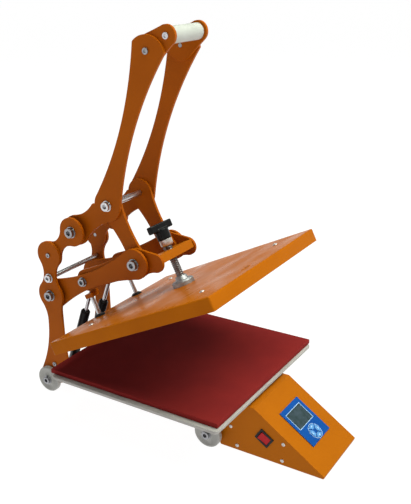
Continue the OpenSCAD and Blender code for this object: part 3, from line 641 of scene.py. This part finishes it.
platen_up = Vector(next(j for j in frame["joints"] if j["name"] == "platen_slide")["axis"])
posts = dress("guide_posts", orange_enamel_painted_shade, edge=0.0004)
posts.data.materials.append(bright_chrome)
post_reach, side_on = 0.005, 0.1
post_axes = [sum(part, Vector()) / len(part) for part in loose_parts("guide_bushes")]
for face in posts.data.polygons:
    offsets = [face.center - axis for axis in post_axes]
    nearest = min((away - platen_up * away.dot(platen_up)).length for away in offsets)
    if nearest < post_reach and abs(face.normal.dot(platen_up)) < side_on:
        face.material_index = 1

# Heated platen. A cast aluminium plate hangs under a bent orange cover, screwed on over
# a mat of insulation. A turned flange on its top takes the foot of the pressure screw,
# and a small slot with a pressed lip lies near the front edge.
cast_aluminium = finish(
    "cast_aluminium",
    tones=((0.62, 0.62, 0.63), (0.52, 0.52, 0.54)),
    patch=0.03,
    grain=0.0012,
    gloss=(0.32, 0.48),
    relief=0.00001,
    shader={"Metallic": 1},
    stretch=(0.15, 1, 1),
)
turned_steel = finish(
    "turned_steel",
    tones=((0.44, 0.44, 0.445), (0.36, 0.36, 0.365)),
    patch=0.006,
    grain=0.0005,
    gloss=(0.45, 0.6),
    relief=0.000006,
    shader={"Metallic": 1},
    stretch=(1, 1, 4),
)
fibre_mat = finish(
    "fibre_mat",
    tones=((0.76, 0.73, 0.63), (0.64, 0.60, 0.50)),
    patch=0.006,
    grain=0.0008,
    gloss=(0.85, 0.98),
    relief=0.0002,
)
# A lighter copy of the plates' enamel for the cover and the slot's lip. Its lighter tones are painted light, and
# its coarse grain and relief ripple the reflections.
thin_sheet_enamel_painted_light = finish(
    "thin_sheet_enamel_painted_light",
    tones=((0.445, 0.119, 0.003), (0.40, 0.104, 0.003)),
    patch=0.09,
    grain=0.05,
    gloss=(0.2, 0.42),
    relief=0.0008,
    shader={"Specular IOR Level": 0.02},
    stretch=(0.5, 1, 1),
)
dress("heater_cover", thin_sheet_enamel_painted_light, edge=0.0003)
dress("heating_plate", cast_aluminium, edge=0.0006)
dress("insulation_mat", fibre_mat, edge=0.001)
dress("screw_flange", turned_steel, edge=0.0004)
dress("guide_bushes", black_nylon, edge=0.0004)
set_screws("cover_screws", (platen_up,), radius=0.005, height=0.0026, slot_width=0.0014)

slot_across, slot_ahead = -0.026, 0.172
platen_right = Vector((1, 0, 0))
platen_ahead = platen_right.cross(platen_up)
cover_level = max(v.co.dot(platen_up) for v in nodes["heater_cover"].data.vertices)
flange_points = loose_parts("screw_flange")[0]
flange_mid = sum(flange_points, Vector()) / len(flange_points)
slot_mid = flange_mid + platen_ahead * slot_ahead
slot_mid += platen_up * (cover_level - flange_mid.dot(platen_up))
slot_mid.x = slot_across


def stack(name, ovals, material, capped, parts=40):
    """A skin over a stack of ovals round the slot, closed on the last one if it is capped.
    An oval is its half length, half width, height over the cover and shift to the right."""
    points, faces = [], []
    for half_long, half_wide, height, shift in ovals:
        first = len(points)
        for i in range(parts):
            turn = 2 * math.pi * i / parts
            points.append(
                slot_mid
                + platen_right * (shift + half_long * math.cos(turn))
                + platen_ahead * half_wide * math.sin(turn)
                + platen_up * height
            )
            j = (i + 1) % parts
            if first:
                faces.append([first - parts + i, first - parts + j, first + j, first + i])
    if capped:
        faces.append([first + i for i in range(parts)])
    mesh = bpy.data.meshes.new(name + "_shape")
    mesh.from_pydata(points, [], faces)
    mesh.shade_smooth()
    piece = add(name, mesh, material)
    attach(piece, body_of["heater_cover"])


lip = (
    (0.0170, 0.0055, 0.0, 0.0),
    (0.0145, 0.0047, 0.00054, 0.0),
    (0.0125, 0.0040, 0.0009, 0.0),
    (0.0085, 0.0030, 0.00063, 0.002),
    (0.0070, 0.0023, 0.0002, 0.003),
)
# A black cap just under the lip closes the slot's hole. It is painted shade inside the slot.
slot_shade_ovals = ((0.0072, 0.0024, 0.0, 0.003), (0.0070, 0.0023, 0.0003, 0.003))
stack("slot_lip", lip, thin_sheet_enamel_painted_light, capped=False)
stack("slot_painted_shade", slot_shade_ovals, black_enamel, capped=True)

# Pressure screw. A steel shaft with a coarse rolled thread, oiled, goes through the block
# of the arm. A plated locking collar sits above the block, and a black moulded knob with
# two wings is pressed on its top.
knob_black = finish(
    "knob_black",
    tones=((0.008, 0.008, 0.009), (0.005, 0.005, 0.006)),
    patch=0.012,
    grain=0.0008,
    gloss=(0.3, 0.45),
    relief=0.00002,
    shader={"Specular IOR Level": 0.2},
)


def coil_thread():
    """Node tree that winds a trapezoidal ridge round a core, both standing on a place."""
    steps_a_turn, core_sides = 32, 48
    profile_turn = (0, 0, math.radians(-90))
    tree, put = new_tree(
        "coil_thread",
        {
            "Float": (
                "Core Radius",
                "Ridge Height",
                "Ridge Foot",
                "Ridge Crest",
                "Length",
                "Turns",
                "Winding",
            ),
            "Vector": ("Place", "Axis"),
            "Material": ("Finish",),
        },
    )
    sizes = put("NodeGroupInput").outputs
    spiral = put(
        "GeometryNodeCurveSpiral",
        [
            (sizes["Turns"], "Rotations"),
            (sizes["Core Radius"], "Start Radius"),
            (sizes["Core Radius"], "End Radius"),
            (sizes["Winding"], "Height"),
        ],
        [("Resolution", steps_a_turn), ("Reverse", True)],
    )
    upright = put("GeometryNodeSetCurveNormal", [(spiral.outputs["Curve"], "Curve")], mode="Z_UP")
    ridge = put(
        "GeometryNodeCurvePrimitiveQuadrilateral",
        [
            (sizes["Ridge Height"], "Height"),
            (sizes["Ridge Foot"], "Bottom Width"),
            (sizes["Ridge Crest"], "Top Width"),
        ],
        [("Offset", 0)],
        mode="TRAPEZOID",
    )
    outward = put(
        "GeometryNodeTransform",
        [(ridge.outputs["Curve"], "Geometry")],
        [("Rotation", profile_turn)],
    )
    wound = put(
        "GeometryNodeCurveToMesh",
        [(upright.outputs["Curve"], "Curve"), (outward.outputs[0], "Profile Curve")],
        [("Fill Caps", True)],
    )
    core = put(
        "GeometryNodeMeshCylinder",
        [(sizes["Core Radius"], "Radius"), (sizes["Length"], "Depth")],
        [("Vertices", core_sides)],
    )
    rise = put(
        "ShaderNodeMath", [(sizes["Length"], 0), (sizes["Winding"], 1)], operation="SUBTRACT"
    )
    stood = []
    for made, span in ((wound, rise.outputs[0]), (core, sizes["Length"])):
        half = put("ShaderNodeMath", [(span, 0)], [(1, 0.5)], operation="MULTIPLY")
        lift = put("ShaderNodeCombineXYZ", [(half.outputs[0], "Z")])
        links = [(made.outputs["Mesh"], "Geometry"), (lift.outputs[0], "Translation")]
        stood.append(put("GeometryNodeTransform", links))
    both = put("GeometryNodeJoinGeometry", [(made.outputs[0], 0) for made in stood])
    turn = put("FunctionNodeAlignRotationToVector", [(sizes["Axis"], "Vector")], axis="Z")
    placed = put(
        "GeometryNodeTransform",
        [
            (both.outputs[0], "Geometry"),
            (sizes["Place"], "Translation"),
            (turn.outputs["Rotation"], "Rotation"),
        ],
    )
    real = put("GeometryNodeRealizeInstances", [(placed.outputs[0], "Geometry")])
    coat = put(
        "GeometryNodeSetMaterial",
        [(real.outputs[0], "Geometry"), (sizes["Finish"], "Material")],
    )
    put("NodeGroupOutput", [(coat.outputs[0], "Geometry")])
    return tree


oiled_steel = finish(
    "oiled_steel",
    tones=((0.26, 0.25, 0.25), (0.18, 0.17, 0.175)),
    patch=0.008,
    grain=0.0006,
    gloss=(0.28, 0.42),
    relief=0.000008,
    shader={"Metallic": 1},
)
thread_pitch, thread_depth = 0.004, 0.001
ridge_foot, ridge_crest = 0.0032, 0.0012
foot_depth = 1e-5
screw_points = loose_parts("pressure_screw")[0]
screw_low = min(p.dot(platen_up) for p in screw_points)
screw_length = max(p.dot(platen_up) for p in screw_points) - screw_low
screw_foot = [p for p in screw_points if p.dot(platen_up) < screw_low + foot_depth]
screw_base = sum(screw_foot, Vector()) / len(screw_foot)
screw_radius = max((p - screw_base).length for p in screw_foot)
screw_turns = math.floor(screw_length / thread_pitch) - 1.0
screw = grow(
    "threaded_screw",
    bpy.data.meshes.new("screw_seed"),
    coil_thread(),
    {
        "Core Radius": screw_radius - thread_depth,
        "Ridge Height": thread_depth * 2,
        "Ridge Foot": ridge_foot,
        "Ridge Crest": ridge_crest,
        "Length": screw_length,
        "Turns": screw_turns,
        "Winding": screw_turns * thread_pitch,
        "Place": screw_base,
        "Axis": platen_up,
        "Finish": oiled_steel,
    },
)
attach(screw, body_of["pressure_screw"])
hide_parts("pressure_screw")
dress("lock_collar", zinc_plate, edge=0.0005)
dress("wing_knob", knob_black, edge=0.0024, steps=4)

# Gas springs. Satin black cylinders stand on the bracket, and polished rods hang from
# the cross pin of the arm.
satin_black = finish(
    "satin_black",
    tones=((0.008, 0.008, 0.009), (0.005, 0.005, 0.006)),
    patch=0.03,
    grain=0.0008,
    gloss=(0.25, 0.38),
    relief=0.00001,
    shader={"Specular IOR Level": 0.2},
)
for side in ("left", "right"):
    dress(side + "_gas_cylinder", satin_black)
    dress(side + "_gas_rod", bright_chrome, edge=0.0004)

# Studio. A plain pale floor runs out into a pale sweep, under a broad key light high
# above the front and a weak one behind, with the camera at the photograph's place.
floor_reach = 40
floor_mesh = bpy.data.meshes.new("floor_sheet")
floor_corners = ((-1, -1), (1, -1), (1, 1), (-1, 1))
floor_mesh.from_pydata(
    [(x * floor_reach, y * floor_reach, 0) for x, y in floor_corners], [], [(0, 1, 2, 3)]
)
floor_white = finish(
    "floor_white",
    tones=((0.11, 0.11, 0.11), (0.10, 0.10, 0.10)),
    patch=0.4,
    grain=0.02,
    gloss=(0.85, 0.95),
    relief=0.00001,
    shader={"Emission Color": (1, 1, 1, 1), "Emission Strength": 0.97},
)
add("floor", floor_mesh, floor_white)

press_middle = Vector((0, 0.05, 0.3))
for name, place, size, power, tint in (
    ("key_light", (0.45, -1.1, 3.15), 3.2, 166, (0.94, 1.0, 0.91)),
    ("back_light", (0.4, 2.2, 2.4), 1.4, 7, (1.0, 1.0, 1.0)),
):
    lamp = bpy.data.lights.new(name, "AREA")
    lamp.shape = "DISK"
    lamp.size = size
    lamp.energy = power
    lamp.color = tint
    light = bpy.data.objects.new(name, lamp)
    light.location = place
    light.rotation_euler = (press_middle - Vector(place)).to_track_quat("-Z", "Y").to_euler()
    bpy.context.scene.collection.objects.link(light)

sky = bpy.data.worlds.new("studio")
sky.use_nodes = True
sky_nodes, sky_links = sky.node_tree.nodes, sky.node_tree.links
toward = sky_nodes.new("ShaderNodeTexCoord")
tilt = sky_nodes.new("ShaderNodeSeparateXYZ")
sweep = sky_nodes.new("ShaderNodeValToRGB")
sweep.color_ramp.interpolation = "EASE"
sky_tones = ((0.0, 1.0), (0.09, 0.80), (0.22, 0.32), (0.45, 0.06))
while len(sweep.color_ramp.elements) < len(sky_tones):
    sweep.color_ramp.elements.new(0.5)
for stop, (sine, grey) in zip(sweep.color_ramp.elements, sky_tones):
    stop.position = sine
    stop.color = (grey, grey, grey, 1)
sky_links.new(toward.outputs["Generated"], tilt.inputs["Vector"])
sky_links.new(tilt.outputs["Z"], sweep.inputs["Fac"])
sky_links.new(sweep.outputs["Color"], sky_nodes["Background"].inputs["Color"])
bpy.context.scene.world = sky
bpy.context.scene.view_settings.view_transform = "Standard"

eye = Vector((-1.1449, -0.78775, 0.8732))
look_azimuth, look_elevation, look_roll = (math.radians(a) for a in (-57.18, 20.51, 1.26))
focal_px, picture_px = 765.32, 504
sensor = 36
ahead = Vector(
    (
        -math.sin(look_azimuth) * math.cos(look_elevation),
        math.cos(look_azimuth) * math.cos(look_elevation),
        -math.sin(look_elevation),
    )
)
level = ahead.cross(Vector((0, 0, 1))).normalized()
upward = level.cross(ahead)
across = level * math.cos(look_roll) - upward * math.sin(look_roll)
turned = Matrix((across, (-ahead).cross(across), -ahead)).transposed().to_4x4()
camera = bpy.data.objects.new("camera", bpy.data.cameras.new("camera"))
camera.data.sensor_width = sensor
camera.data.lens = focal_px / picture_px * sensor
camera.matrix_world = Matrix.Translation(eye) @ turned
bpy.context.scene.collection.objects.link(camera)
bpy.context.scene.camera = camera
